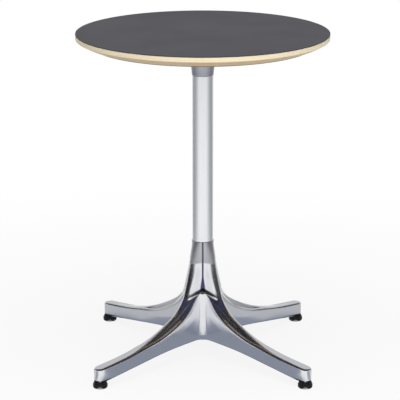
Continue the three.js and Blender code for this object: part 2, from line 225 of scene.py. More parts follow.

# %% [markdown]
# ## Plywood
#
# The edge of the top shows its plies. Neighbouring plies lie with their grain turned by a quarter,
# so at one place on the rim a ply shows its long grain, pale and smooth, and the next shows its
# end grain, darker and rougher. A quarter turn further round, they have changed places.
#
# Striped wood could be painted with two colours by height alone. Here the angle round the rim also
# decides which plies look dark, because that change is what makes a round plywood edge look real.
#
# The upright part of the rim is pale. The bevel below it cuts the plies at a flat angle and is
# given a darker, warmer tan, as painted shade for a face that turns down, away from the lamps.

# %% Count the plies up the edge
TOP = 565
CORE_THICKNESS = 19
PLY = 1.46
plywood, plywood_shader = start_finish("plywood_edge", (0.7, 0.55, 0.33), 0.5)
ply_place = place(plywood)
ply_height = add_node(plywood, "SeparateXYZ", {}, Vector=ply_place).outputs["Z"]
ply_wander = between(plywood, noise(plywood, ply_place, 14, 2.0), -0.12, 0.12)
ply_count = maths(plywood, "ADD", maths(plywood, "MULTIPLY", ply_height, 1 / (PLY * MM)), ply_wander)
ply_turn = step(plywood, maths(plywood, "PINGPONG", ply_count, 1.0), 0.44, 0.56)
print("Plywood:", round(CORE_THICKNESS / PLY), "plies of", PLY, "mm")

# %% [markdown]
# The place round the rim is a direction one unit long. The square of its X part is the share of
# end grain in the plies that lie along X, and the rest of 1 is the share in the plies between them.

# %% Colour the plies
rim_direction = add_node(plywood, "VectorMath", {"operation": "NORMALIZE"}, n0=add_node(
    plywood, "VectorMath", {"operation": "MULTIPLY"}, n0=ply_place, n1=(1, 1, 0)).outputs[0])
rim_x = add_node(plywood, "SeparateXYZ", {}, Vector=rim_direction.outputs[0]).outputs["X"]
end_x = maths(plywood, "MULTIPLY", rim_x, rim_x)
end_grain = mixed(plywood, ply_turn, end_x, maths(plywood, "SUBTRACT", 1.0, end_x))
streaks = noise(plywood, place(plywood, (1, 1, 12)), 160, 4.0)
pores = noise(plywood, ply_place, 1500, 2.0)
pale = blended(plywood, streaks, (0.93, 0.85, 0.66), (0.86, 0.75, 0.54))
dark = blended(plywood, pores, (0.88, 0.76, 0.53), (0.78, 0.64, 0.40))
# The bevel's two colours are painted darker than the band's: painted shade for the bevel, which faces down.
bevel_pale_shaded = blended(plywood, streaks, (0.74, 0.58, 0.35), (0.66, 0.50, 0.28))
bevel_dark_shaded = blended(plywood, pores, (0.62, 0.46, 0.26), (0.52, 0.37, 0.19))
upright = step(plywood, ply_height, (TOP - 9.4) * MM, (TOP - 8.8) * MM)
on_band = blended(plywood, end_grain, pale, dark)
on_bevel = blended(plywood, end_grain, bevel_pale_shaded, bevel_dark_shaded)
join(plywood, blended(plywood, upright, on_bevel, on_band), plywood_shader.inputs["Base Color"])
join(plywood, between(plywood, streaks, 0.42, 0.6), plywood_shader.inputs["Roughness"])
raised(plywood, plywood_shader, pores, 0.08, 0.5)
print("Plywood: pale on the upright edge, darker_shaded on the bevel")

# %% [markdown]
# ## Backing sheet
#
# Under the plywood lies a thin sheet that balances the laminate and keeps the top flat. It is
# brown veneer, seen only by someone who looks up from the floor, with long grain in one direction.
# Its brown is painted darker than the veneer's own, as painted shade for the dim underside of the top, and the
# polished legs mirror it as a soft brown streak.

# %% Backing veneer
backing, backing_shader = start_finish("backing_veneer", (0.18, 0.11, 0.065), 0.55)
grain_place = place(backing, (1.0, 14.0, 1.0))
grain = noise(backing, grain_place, 22, 6.0)
fine_grain = noise(backing, place(backing, (3.0, 60.0, 1.0)), 30, 3.0)
# Both grain colours are painted dark: painted shade for the underside of the top, over the veneer's real grain.
join(backing, blended(backing, grain, (0.21, 0.135, 0.08), (0.14, 0.085, 0.048)),
     backing_shader.inputs["Base Color"])
join(backing, between(backing, fine_grain, 0.45, 0.65), backing_shader.inputs["Roughness"])
raised(backing, backing_shader, fine_grain, 0.08, 0.4)
print("Veneer: grain runs along X")

# %% [markdown]
# ## Metals
#
# The table has five metal finishes. The base is cast aluminium, polished until it mirrors the room,
# and the column is the same metal with a satin surface that was drawn out along its length. The
# collar under the top is left as it came from the mould, brushed lightly. Screws, studs and the tie
# rod are steel with a zinc coat, which has a faint mottle from the bath. The discs that stand on
# the floor are steel with a bright nickel plating.
#
# A mirror finish is never perfectly flat. Slow waves from the polishing wheel bend the reflections
# a little, and hair-fine scratches soften them.


# %% Five metal finishes
def metal(name, color, smooth, rough, mottle_scale, wave=(0, 1), stretch=(1, 1, 1)):
    """A bare metal: its roughness wanders between two values and its surface waves by a depth."""
    finish, shader = start_finish(name, color, smooth, 1.0)
    where = place(finish, stretch)
    mottle = noise(finish, where, mottle_scale, 4.0)
    darker = tuple(channel * 0.93 for channel in color)
    join(finish, blended(finish, mottle, color, darker), shader.inputs["Base Color"])
    join(finish, between(finish, mottle, smooth, rough), shader.inputs["Roughness"])
    depth, scale = wave
    raised(finish, shader, noise(finish, where, scale, 2.0), depth)
    return finish


polished = metal("polished_aluminium", (0.90, 0.91, 0.94), 0.16, 0.21, 60, (0.05, 35))
satin = metal("satin_aluminium", (0.91, 0.92, 0.95), 0.20, 0.27, 900, (0.01, 900), (1, 1, 0.02))
cast = metal("cast_aluminium", (0.48, 0.50, 0.56), 0.38, 0.52, 500, (0.08, 420))
zinc = metal("zinc_steel", (0.62, 0.63, 0.64), 0.28, 0.45, 300, (0.01, 800))
nickel = metal("nickel_steel", (0.66, 0.66, 0.67), 0.10, 0.20, 200, (0.02, 90))
print("Metals:", [m.name for m in (polished, satin, cast, zinc, nickel)])

# %% [markdown]
# The wheel cannot reach everywhere on the base. Close to the joint with the column the neck keeps
# a satin surface, with a clear line where polishing stops. It is a mask made from the height on
# the piece: above the line the metal is rougher and a little darker.

# %% Satin neck
NECK = 205
SATIN_LINE = 170
polished_shader = polished.node_tree.nodes["Principled BSDF"]
metal_color = polished_shader.inputs["Base Color"].links[0].from_socket
metal_shine = polished_shader.inputs["Roughness"].links[0].from_socket
neck_parts = add_node(polished, "SeparateXYZ", {}, Vector=place(polished))
neck_x, neck_y, neck_z = (neck_parts.outputs[axis] for axis in "XYZ")
above_line = step(polished, neck_z, (SATIN_LINE - 4) * MM, SATIN_LINE * MM)
join(polished, mixed(polished, above_line, metal_shine, 0.46), polished_shader.inputs["Roughness"])
neck_color = blended(polished, above_line, metal_color, (0.72, 0.73, 0.77))
print("Polishing stops", NECK - SATIN_LINE, "mm below the joint")

# %% [markdown]
# In the bottom of the four valleys of the neck a fine dark line is painted into the metal's colour, as painted
# shade for the crease there. It is dark blue where the metal is polished and grey above the line, and it widens
# towards its foot.
# The mask comes from the distance to the planes that the valleys lie in, X = 0 and Y = 0.

# %% Painted shade in the valleys
nearest = maths(polished, "MINIMUM", *[maths(polished, "ABSOLUTE", side) for side in (neck_x, neck_y)])
line_width = between(polished, step(polished, neck_z, 0.146, 0.118), 0.0020, 0.0058)
in_line = step(polished, maths(polished, "DIVIDE", nearest, line_width), 1.0, 0.5)
in_valley = maths(polished, "MULTIPLY", in_line, step(polished, neck_z, 0.112, 0.122))
# Painted shade in the valley crease: dark blue below the satin line, grey above it.
painted_valley_shade = blended(polished, above_line, (0.060, 0.062, 0.150), (0.13, 0.13, 0.15))
join(polished, blended(polished, in_valley, neck_color, painted_valley_shade), polished_shader.inputs["Base Color"])
print("The line of painted_shade is 2 mm to each side at the top and 5.8 mm at its foot")

# %% [markdown]
# ## Black plastic
#
# The glides' cups are moulded in black plastic with a fine matt grain, polished by handling.

# %% Black plastic
black, black_shader = start_finish("black_plastic", (0.012, 0.012, 0.013), 0.3)
black_place = place(black)
join(black, between(black, noise(black, black_place, 150, 3.0), 0.22, 0.42), black_shader.inputs["Roughness"])
raised(black, black_shader, noise(black, black_place, 2200, 2.0), 0.02, 0.4)
print("Black plastic: fine grain", round(1000 / 2200, 2), "mm wide")

# %% [markdown]
# ## The top
#
# The top is a sandwich: laminate above, plywood in the middle and a backing sheet below. Its edge
# stands upright for 9 mm, then runs in under the top as a long shallow bevel, so that a thick top
# looks thin. The bevel bulges very slightly, as a surface from a shaped cutter does, so it is drawn
# as a Bezier curve with both handles pushed outwards.

# %% Laminate, plywood core, backing sheet
TOP_RADIUS = 212
TOP_STEPS = 288
LAMINATE_THICKNESS = 1.3
BACKING_THICKNESS = 0.8
EDGE_BAND = 7.8
UNDERSIDE_RADIUS = 186
CORE_TOP = TOP - LAMINATE_THICKNESS
CORE_BOTTOM = CORE_TOP - CORE_THICKNESS
BACKING_BOTTOM = CORE_BOTTOM - BACKING_THICKNESS

laminate_disc = turned([(0, CORE_TOP), (TOP_RADIUS, CORE_TOP), (TOP_RADIUS, TOP), (0, TOP)], TOP_STEPS)
add_piece("laminate_face", round_edges(laminate_disc, 0.25), laminate, "laminate", "table", "top_laminate")

bevel_start = Vector((UNDERSIDE_RADIUS, CORE_BOTTOM))
bevel_end = Vector((TOP_RADIUS, CORE_TOP - EDGE_BAND))
bulge = Vector((0.5, -1.0))
bevel_curve = interpolate_bezier(bevel_start, bevel_start.lerp(bevel_end, 0.33) + bulge,
                                 bevel_start.lerp(bevel_end, 0.67) + bulge, bevel_end, 9)
core_outline = [(0, CORE_BOTTOM), *[tuple(p) for p in bevel_curve], (TOP_RADIUS, CORE_TOP), (0, CORE_TOP)]
core = round_edges(turned(core_outline, TOP_STEPS), 1.1, 4, 20)
add_piece("plywood_disc", core, plywood, "plywood", "table", "plywood_core")

sheet = turned([(0, BACKING_BOTTOM), (UNDERSIDE_RADIUS, BACKING_BOTTOM), (UNDERSIDE_RADIUS, CORE_BOTTOM),
                (0, CORE_BOTTOM)], TOP_STEPS)
add_piece("backing_disc", round_edges(sheet, 0.2), backing, "backing", "table", "backing_sheet")

# %% [markdown]
# ## The column
#
# The column is a length of aluminium tube, cut square. It is spun from a closed outline, so it has
# a real wall and a real bore, and its cut ends have the small round that deburring leaves.

# %% Column tube
COLLAR = 493
TUBE_RADIUS = 17.9
TUBE_BORE = 15.4


def ring_outline(inner, outer, bottom, top):
    """The closed outline of a plain ring or tube."""
    return [(inner, bottom), (outer, bottom), (outer, top), (inner, top), (inner, bottom)]


tube = round_edges(turned(ring_outline(TUBE_BORE, TUBE_RADIUS, NECK, COLLAR), 144), 0.35)
add_piece("column", tube, satin, "satin_aluminium", "table", "column_tube")

# %% [markdown]
# ## The collar casting
#
# The collar carries the top. It starts as a sleeve as wide as the column, flares like a trumpet,
# and spreads into four flat arms with a rib under each. On a casting all these shapes flow into
# each other through soft fillets. Joining them by hand and filleting each seam would be tedious.
# Instead the plain shapes are laid into each other, a remesh wraps one skin round them all, and a
# smoothing pass rounds the seams as a mould does. The real casting is hollow round the tie rod.
# Nothing shows that, so the shape spun here is filled, and the rod runs on inside it.

# %% Collar outline
PLATE_THICKNESS = 5
PLATE_BOTTOM = BACKING_BOTTOM - PLATE_THICKNESS
SPIGOT_RADIUS = 15.1
SPIGOT_LENGTH = 25
FLARE_RADIUS = 44
flare = interpolate_bezier(Vector((18.3, COLLAR)), Vector((19.5, COLLAR + 25)),
                           Vector((24.3, PLATE_BOTTOM - 6)), Vector((FLARE_RADIUS, PLATE_BOTTOM)), 16)
spigot_end = COLLAR - SPIGOT_LENGTH
collar = turned([(0, spigot_end), (SPIGOT_RADIUS, spigot_end), (SPIGOT_RADIUS, COLLAR),
                 *[tuple(p) for p in flare], (FLARE_RADIUS, BACKING_BOTTOM), (0, BACKING_BOTTOM)], 96)
print("The collar flares to", FLARE_RADIUS, "mm from the axis")

# %% [markdown]
# Each arm starts as a circle, the pad that the screws go through. The half of it that faces the
# column is drawn in to the axis, which makes the tapered arm. The rib is a flat outline seen from
# the side, extruded to its thickness.

# %% Arms and ribs
SCREW_REACH = 106
PAD_RADIUS = 16
ARM_ROOT_HALF_WIDTH = 13
RIB_THICKNESS = 5
RIB_OUTLINE = [(8, PLATE_BOTTOM + 2), (8, PLATE_BOTTOM - 24), (18, PLATE_BOTTOM - 24), (84, PLATE_BOTTOM),
               (84, PLATE_BOTTOM + 2)]


def raise_face(bm, faces, move):
    """Extrudes faces by a distance in millimetres and gives back the new points."""
    grown = bmesh.ops.extrude_face_region(bm, geom=faces, use_keep_orig=True)["geom"]
    verts = [item for item in grown if isinstance(item, bmesh.types.BMVert)]
    bmesh.ops.translate(bm, verts=verts, vec=Vector(move) * MM)
    return verts


def arm_shapes(bm, angle):
    """A tapered flat arm with a round pad, and the rib below it."""
    pad = bmesh.ops.create_circle(bm, cap_ends=True, segments=32, radius=PAD_RADIUS * MM,
                                  matrix=Matrix.Translation((SCREW_REACH * MM, 0, PLATE_BOTTOM * MM)))["verts"]
    for vert in pad:
        if vert.co.x < SCREW_REACH * MM:
            vert.co.x = 0
            vert.co.y *= ARM_ROOT_HALF_WIDTH / PAD_RADIUS
    bmesh.ops.dissolve_degenerate(bm, dist=0.01 * MM, edges=list({e for v in pad for e in v.link_edges}))
    flat = {face for vert in pad if vert.is_valid for face in vert.link_faces}
    top_verts = raise_face(bm, list(flat), (0, 0, PLATE_THICKNESS))
    side = bm.faces.new([bm.verts.new((reach * MM, -RIB_THICKNESS / 2 * MM, height * MM))
                         for reach, height in RIB_OUTLINE])
    rib_verts = raise_face(bm, [side], (0, RIB_THICKNESS, 0))
    made = {v for v in pad if v.is_valid} | set(top_verts) | set(rib_verts) | set(side.verts)
    bmesh.ops.rotate(bm, verts=list(made), cent=(0, 0, 0), matrix=Matrix.Rotation(angle, 3, "Z"))


LEG_ANGLES = [math.radians(45 + 90 * n) for n in range(4)]
for angle in LEG_ANGLES:
    arm_shapes(collar, angle)
bmesh.ops.recalc_face_normals(collar, faces=collar.faces)
collar_piece = add_piece("collar", collar, cast, "cast_aluminium", "table", "collar_casting", smooth_below=180)
wrap = collar_piece.modifiers.new("one skin", "REMESH")
wrap.mode = "VOXEL"
wrap.voxel_size = 0.9 * MM
wrap.use_smooth_shade = True
soften = collar_piece.modifiers.new("mould fillets", "SMOOTH")
soften.factor = 0.5
soften.iterations = 5

# %% [markdown]
# ## Rings of points
#
# Screw heads and nuts are round in some places and not in others. They are built from rings with
# the same number of points, each bent to its own outline, and bridged one to the next.


# %% Rings and bridges
def ring(bm, radius, height, count=24, outline=None):
    """A circle of points. The outline gives the radius, as a factor, at each angle."""
    made = bmesh.ops.create_circle(bm, segments=count, radius=radius * MM,
                                   matrix=Matrix.Translation((0, 0, height * MM)))["verts"]
    if outline:
        for vert in made:
            factor = outline(math.atan2(vert.co.y, vert.co.x))
            vert.co.x *= factor
            vert.co.y *= factor
    return list({edge for vert in made for edge in vert.link_edges})


def bridged(bm, rings, closed_first=True, closed_last=True):
    for lower, upper in zip(rings, rings[1:]):
        bmesh.ops.bridge_loops(bm, edges=lower + upper)
    caps = rings[:1] * closed_first + rings[-1:] * closed_last
    for edges in caps:
        bmesh.ops.edgeloop_fill(bm, edges=edges)
    bmesh.ops.recalc_face_normals(bm, faces=bm.faces)
    return bm


# %% [markdown]
# ## Screws under the top
#
# Two pan-head screws hold each arm to the plywood. The cross in the head is a ring of points drawn
# in to the shape of a plus, pushed down and narrowed, as the punch that makes it does.

# %% Screws
def cross(angle):
    """A plus with arms 2.1 mm long and 1.1 mm wide, as a factor of its circle of 2.1 mm."""
    folded = abs((angle + math.pi / 4) % (math.pi / 2) - math.pi / 4)
    return min(1 / math.cos(folded), 0.26 / max(math.sin(folded), 0.01))


def screw():
    bm = bmesh.new()
    rings = [ring(bm, 0.4, -14.2), ring(bm, 2.0, -12.5), ring(bm, 2.0, 0), ring(bm, 4.2, 0), ring(bm, 4.2, 0.9),
             ring(bm, 4.0, 1.6), ring(bm, 3.5, 2.2), ring(bm, 2.8, 2.55), ring(bm, 2.1, 2.6, outline=cross),
             ring(bm, 1.5, 1.3, outline=cross)]
    return bridged(bm, rings)


SCREW_SPREAD = 8.5
SCREW_TURN = 37
SCREW_PLACES = [(angle, side) for angle in LEG_ANGLES for side in (-SCREW_SPREAD, SCREW_SPREAD)]
for number, (angle, side) in enumerate(SCREW_PLACES, 1):
    bm = screw()
    turn = Matrix.Rotation(math.radians(SCREW_TURN * number), 4, "Z") @ Matrix.Rotation(math.pi, 4, "X")
    spot = Matrix.Rotation(angle, 4, "Z") @ Matrix.Translation((SCREW_REACH * MM, side * MM, PLATE_BOTTOM * MM))
    bmesh.ops.transform(bm, matrix=spot @ turn, verts=bm.verts)
    add_piece(f"screw_{number}", bm, zinc, "zinc_steel", "table", f"top_screw_{number}", smooth_below=50)

# %% [markdown]
# ## The base casting
#
# The base is one casting: a neck that turns into four legs. A ridge runs down the neck and out
# along each leg. On both sides of it the surface falls away in a hollow flank to a rounded edge,
# the crease, and below the crease the leg's side drops straight down. Between two legs the flanks
# meet in a valley, and the sides meet in an upright fillet, the crotch.
#
# Such a shape could be sculpted, but a mirror finish shows every dent. Here sections are drawn
# across half a leg, from the top of the neck to the tip of the foot, each as a chain of points.
# Bridges between the chains make the skin, a mirror makes the other half, and turned copies make
# the other legs. A subdivision surface then runs smoothly through it all.
#
# The tables below have a value for each section. Those of the ridge, the edge, the flank and the
# crown start at the neck's rim and have 16. The valley's ends where the legs part and has 6. Those
# of the sides start there and have 11. The eighth to eleventh values of the flank's tables make a
# nearly flat shelf beside the crease.
#
# Heights are shares of the neck's height, and places along a leg are shares of its reach. The
# crease's inset, the draft and the crotch's lean are millimetres, the parting is a share of the
# side's height, and the flank's turn is in quarter turns. The pulls of the crown and the flank,
# which bend the skin at its two ends, are shares of a leg's half width.

# %% Sizes of the base
REACH = 240
NECK_RADIUS = 18.7
LEG_HALF_WIDTH = 10
HUB_HALF_WIDTH = 13.9
CROTCH_RADIUS = 13
TAPER_REACH = 140
WALL = 4.5
CROTCH_CENTRE = HUB_HALF_WIDTH + CROTCH_RADIUS
CROTCH_FRONT = math.sqrt(2) * CROTCH_CENTRE - CROTCH_RADIUS
NECK_STEPS = 5
CREASE_INSET = [0.9, 1.2, 2.2, 1.6, 1.3, 1.5, 1.9, 2.3, 2.2, 1.8, 1.3]
RIDGE_OUT = [NECK_RADIUS, *[share * REACH for share in (
    0.103, 0.125, 0.150, 0.177, 0.194, 0.223, 0.262, 0.315, 0.383, 0.479, 0.604, 0.742, 0.867, 0.971, 1.0146)]]
RIDGE_UP = [share * NECK for share in (
    1, 0.902, 0.78, 0.67, 0.575, 0.524, 0.473, 0.429, 0.389, 0.346, 0.294, 0.244, 0.207, 0.188, 0.177, 0.1725)]
EDGE_UP = [share * NECK for share in (
    1, 0.902, 0.78, 0.66, 0.585, 0.564, 0.538, 0.455, 0.366, 0.306, 0.258, 0.232, 0.2035, 0.186, 0.173, 0.1675)]
VALLEY_OUT = [*[share * NECK_RADIUS for share in (1, 0.965, 0.95, 0.97, 1.02)], CROTCH_FRONT - CREASE_INSET[0]]
FLANK_REACH = [0.496, 0.66, 0.66, 0.66, 0.7, 0.55, 0.28, 0.5, 0.86, 0.84, 0.5, 0.28, 0.25, 0.22, 0.2, 0.2]
FLANK_RISE = [0, 0, 0, 0, -0.05, 0, -0.02, -0.08, -0.16, -0.16, -0.04, 0.06, 0.09, 0.08, 0.07, 0.06]
FLANK_TURN = [0.5, 0.42, 0.38, 0.38, 0.46, 0.5, 0.78, 0.94, 1, 1, 1, 1, 1, 1, 1, 2]
CROWN = [0.52, 0.66, 0.92, 1.14, 1.06, 0.78, 0.64, 0.68, 0.72, 0.76, 0.74, 0.66, 0.6, 0.6, 0.58, 0.58]
RUN = [0, 1, 1.074, 1.167, 1.278, 1.407, 1.556, 1.713, 1.861, 2, 3]
CREASE_DROP = [0.08, 0.060, 0.034, 0.010, 0.007, 0.008, 0.010, 0.011, 0.011, 0.009, 0.007]
DRAFT = [0.8, 0.75, 0.7, 0.65, 0.6, 0.4, 0.15, 0, 0, 0, 0]
CROTCH_LEAN = [4.6, 1.2, 0, 0, 0, 0, 0, 0, 0, 0, 0]
PARTING = [0.68, 0.68, 0.62, 0.53, 0.54, 0.64, 0.86, 0.9, 0.9, 0.9, 0.9]
UNDERSIDE = [0.158, 0.157, 0.154, 0.15, 0.1425, 0.128, 0.108, 0.0895, 0.071, 0.0566, 0.0566]
print("Crotch front at", round(CROTCH_FRONT, 1), "mm from the axis")


# %% [markdown]
# The tables hold values at whole steps. A smooth curve through them gives the values in between,
# except for RUN, the place along the side, which is read in straight lines. It counts 1 for each
# part of the side's plan: an arc at the crotch, a long taper and a quarter circle round the foot.


# %% Read the tables, draw the plan
def along(values, place_on):
    """A Catmull-Rom curve through a list of values, read at any place."""
    last = len(values) - 1
    start = min(int(place_on), last - 1)
    part = place_on - start
    a, b, c, d = (values[min(max(start + n, 0), last)] for n in (-1, 0, 1, 2))
    return b + part / 2 * (c - a + part * (2 * a - 5 * b + 4 * c - d + part * (3 * (b - c) + d - a)))


def half_width(out):
    taper = min(max((out - CROTCH_CENTRE) / (TAPER_REACH - CROTCH_CENTRE), 0), 1)
    return HUB_HALF_WIDTH + (LEG_HALF_WIDTH - HUB_HALF_WIDTH) * taper * taper * (3 - 2 * taper)


def run_at(station):
    whole = min(int(station) - NECK_STEPS, len(RUN) - 2)
    return RUN[whole] + (RUN[whole + 1] - RUN[whole]) * (station - NECK_STEPS - whole)


def plan(run, inset):
    """(out along the leg, aside from its middle) on the side's plan, set in by a distance."""
    if run <= 1:
        angle = math.radians(225 + 45 * run)
        radius = CROTCH_RADIUS + inset
        return CROTCH_CENTRE + radius * math.cos(angle), CROTCH_CENTRE + radius * math.sin(angle)
    if run <= 2:
        out = CROTCH_CENTRE + (REACH - CROTCH_CENTRE) * (run - 1)
        return out, half_width(out) - inset
    angle = math.radians(90 * (3 - run))
    return REACH + (LEG_HALF_WIDTH - inset) * math.cos(angle), (LEG_HALF_WIDTH - inset) * math.sin(angle)


# %% [markdown]
# Each section has three stretches. The first goes over the skin, from the ridge across the hollow
# flank to the crease, as one Bezier curve. The second goes down the side wall. The third follows
# the hollow underside, which saves metal and weight: a lip as wide as the casting's wall, the
# inner side and the roof. The hollow ends 30 mm before the glide, and the foot is solid.


# %% Draw one section
def skin_points(station, count):
    ridge = Vector((along(RIDGE_OUT, station), 0, along(RIDGE_UP, station)))
    in_neck = station < NECK_STEPS
    if in_neck:
        valley = along(VALLEY_OUT, station) / math.sqrt(2)
        edge = Vector((valley, valley, along(EDGE_UP, station)))
        nose = 0
    else:
        run = run_at(station)
        edge = Vector((*plan(run, along(CREASE_INSET, station - NECK_STEPS)), along(EDGE_UP, station)))
        nose = max(run - 2, 0)
    crown_turn = math.radians(90 * (1 - nose))
    crown = Vector((math.cos(crown_turn), math.sin(crown_turn), 0))
    flank_turn = math.radians(90 * along(FLANK_TURN, station))
    flank = Vector((math.cos(flank_turn), -math.sin(flank_turn), 0))
    rise = Vector((0, 0, along(FLANK_RISE, station)))
    return interpolate_bezier(
        ridge,
        ridge + crown * along(CROWN, station) * LEG_HALF_WIDTH * (1 - nose / 2),
        edge + (flank * along(FLANK_REACH, station) + rise) * LEG_HALF_WIDTH,
        edge,
        count,
    )


def wall_levels(station):
    """The heights of the top and the foot of the leg's side."""
    top = along(EDGE_UP, station) - NECK * along(CREASE_DROP, station - NECK_STEPS)
    return top, NECK * along(UNDERSIDE, station - NECK_STEPS)


def wall_points(station):
    run = run_at(station)
    top, bottom = wall_levels(station)
    parting = bottom + (top - bottom) * along(PARTING, station - NECK_STEPS)
    draft = along(DRAFT, station - NECK_STEPS)
    lean = max(along(CROTCH_LEAN, station - NECK_STEPS), 0)
    levels = [(0, top), (draft * 0.8, parting + (top - parting) * 0.2), (draft, parting),
              (draft * 0.8 + lean * 0.2, parting - (parting - bottom) * 0.2), (lean, bottom)]
    return [Vector((*plan(run, -out), height)) for out, height in levels]


POCKET_END = 13
POCKET_DRAFT = 0.8
ROOF_THICKNESS = 5
HIGHEST_ROOF = 92


def underside_points(station):
    run = run_at(station)
    top, bottom = wall_levels(station)
    roof = min(top - ROOF_THICKNESS, HIGHEST_ROOF) if station <= POCKET_END else bottom
    lip = Vector((*plan(run, WALL), bottom))
    corner = Vector((*plan(run, WALL + POCKET_DRAFT), roof))
    middle = Vector((max(corner.x - CROTCH_CENTRE, 0), 0, roof))
    return [lip, corner, (corner + middle) / 2, middle]


# %% [markdown]
# Now the sections are drawn and bridged. Chains in the neck have only the skin's points, so they
# are bridged to the same stretch of the first full section, where the crotch begins.

# %% Bridge the sections of half a leg
SKIN_COUNT = 9
stations = [0, 0.1, 0.5, 1, 1.5, 2, 2.5, 3, 3.5, 4, 4.5, 5, 5.25, 5.5, 5.75, 6, 6.5, 7, 7.5, 8, 8.5, 9, 9.5,
            10, 10.5, 11, 11.5, 12, 12.5, 13, 13.1, 13.5, 14, 14.25, 14.5, 14.75, 15]
base = bmesh.new()
chains = []
for station in stations:
    points = skin_points(station, SKIN_COUNT)
    if station >= NECK_STEPS:
        points += wall_points(station) + underside_points(station)
    verts = [base.verts.new(point * MM) for point in points]
    chains.append((verts, [base.edges.new(pair) for pair in zip(verts, verts[1:])]))
for (_, near), (_, far) in zip(chains, chains[1:]):
    shared = min(len(near), len(far))
    bmesh.ops.bridge_loops(base, edges=near[:shared] + far[:shared])
print("Half a leg:", len(chains), "sections,", len(base.faces), "faces")

# %% [markdown]
# A subdivision surface rounds everything. Creases hold the edges that are crisp on the casting:
# the rim of the neck, the lower edge of the sides and the corners of the hollow underside.

# %% Mark the crisp edges
crease_layer = base.edges.layers.float.new("crease_edge")
WALL_FOOT = SKIN_COUNT + 4
CRISP = {WALL_FOOT: 0.7, WALL_FOOT + 1: 0.7, WALL_FOOT + 2: 0.5}
for (near, _), (far, _) in zip(chains, chains[1:]):
    for column, weight in CRISP.items():
        if column < len(near):
            base.edges.get((near[column], far[column]))[crease_layer] = weight
for pair in zip(chains[0][0], chains[0][0][1:]):
    base.edges.get(pair)[crease_layer] = 0.9

# %% [markdown]
# The mirror and the turned copies meet exactly on their seams, so the doubled points are merged.
# The neck's rim is then extruded inwards and up into the spigot that the tube slips over, and down
# again as the bore for the tie rod.

# %% Four whole legs, spigot and bore
bmesh.ops.mirror(base, geom=base.verts[:] + base.edges[:] + base.faces[:], axis="Y", merge_dist=0.001 * MM)
bmesh.ops.rotate(base, verts=base.verts, cent=(0, 0, 0), matrix=Matrix.Rotation(LEG_ANGLES[0], 3, "Z"))
bmesh.ops.spin(base, geom=base.verts[:] + base.edges[:] + base.faces[:], axis=(0, 0, 1), cent=(0, 0, 0),
               angle=1.5 * math.pi, steps=3, use_duplicate=True)
bmesh.ops.remove_doubles(base, verts=base.verts, dist=0.005 * MM)
rim = [edge for edge in base.edges if edge.is_boundary]
print("Open edges round the neck's rim:", len(rim))
BORE_RADIUS = 10.5
BORE_END = 70
spigot_top = NECK + SPIGOT_LENGTH
radius_now = NECK_RADIUS
for radius, height in ((SPIGOT_RADIUS, NECK), (SPIGOT_RADIUS, spigot_top), (BORE_RADIUS, spigot_top),
                       (BORE_RADIUS, BORE_END)):
    grown = bmesh.ops.extrude_edge_only(base, edges=rim)["geom"]
    verts = [item for item in grown if isinstance(item, bmesh.types.BMVert)]
    bmesh.ops.scale(base, verts=verts, vec=(radius / radius_now, radius / radius_now, 1))
    for vert in verts:
        vert.co.z = height * MM
    for edge in rim:
        edge[crease_layer] = 0.9
    rim = [item for item in grown if isinstance(item, bmesh.types.BMEdge) and item.is_boundary]
    radius_now = radius
for edge in rim:
    edge[crease_layer] = 0.9
bmesh.ops.edgeloop_fill(base, edges=rim)
bmesh.ops.recalc_face_normals(base, faces=base.faces)
print("Open edges left:", sum(edge.is_boundary for edge in base.edges), "of", len(base.edges))
base_piece = add_piece("base", base, polished, "polished_aluminium", "table", "base_casting", smooth_below=180)
rounding = base_piece.modifiers.new("rounding", "SUBSURF")
rounding.levels = rounding.render_levels = 2

# %% [markdown]
# The hub's boss, which the tie rod's nut pulls against, is part of the same casting. It is a ring
# that reaches up through the roof of the hollow, so it is spun by itself and stands for the base
# together with the outer shape.

# %% Boss of the hub
ROD_HOLE = 5.3
HUB_FLOOR = 58
BOSS_RADIUS = 15
BOSS_TOP = 96
boss = round_edges(turned(ring_outline(ROD_HOLE, BOSS_RADIUS, HUB_FLOOR, BOSS_TOP), 64), 0.8)
add_piece("hub_boss", boss, polished, "polished_aluminium", "table", "base_casting")

# %% [markdown]
# ## Threads
#
# A screw thread is a small V swept along a helix. A spin that also climbs by a fixed amount at
# each step makes exactly that. The turns share their edges, so they merge into one surface, and a
# flat cut at each end makes a clean start.


# %% Wind a thread
def threaded(root, crest, pitch, bottom, top, steps=24, bm=None):
    bm = bm or bmesh.new()
    turns = math.ceil((top - bottom) / pitch) + 2
    start = bottom - pitch
    groove = [(root, start), (crest, start + pitch / 2), (root, start + pitch)]
    points = [bm.verts.new((radius * MM, 0, height * MM)) for radius, height in groove]
    lines = [bm.edges.new(pair) for pair in zip(points, points[1:])]
    bmesh.ops.spin(bm, geom=points + lines, axis=(0, 0, 1), cent=(0, 0, 0), angle=math.tau * turns,
                   steps=steps * turns, dvec=(0, 0, pitch / steps * MM))
    bmesh.ops.remove_doubles(bm, verts=bm.verts, dist=0.001 * MM)
    for height, side in ((bottom, -1), (top, 1)):
        bmesh.ops.bisect_plane(bm, geom=bm.verts[:] + bm.edges[:] + bm.faces[:], plane_co=(0, 0, height * MM),
                               plane_no=(0, 0, side), clear_outer=True)
    bmesh.ops.holes_fill(bm, edges=[edge for edge in bm.edges if edge.is_boundary])
    bmesh.ops.recalc_face_normals(bm, faces=bm.faces)
    return bm


# %% [markdown]
# ## The tie rod and its nut
#
# One steel rod runs up inside the column and clamps top, tube and base together. Only its threaded
# end shows, under the hub, with a washer, a spring washer and a nut. The nut's six corners are
# turned off at a slant, so its outline is a circle at both faces and a hexagon between them.

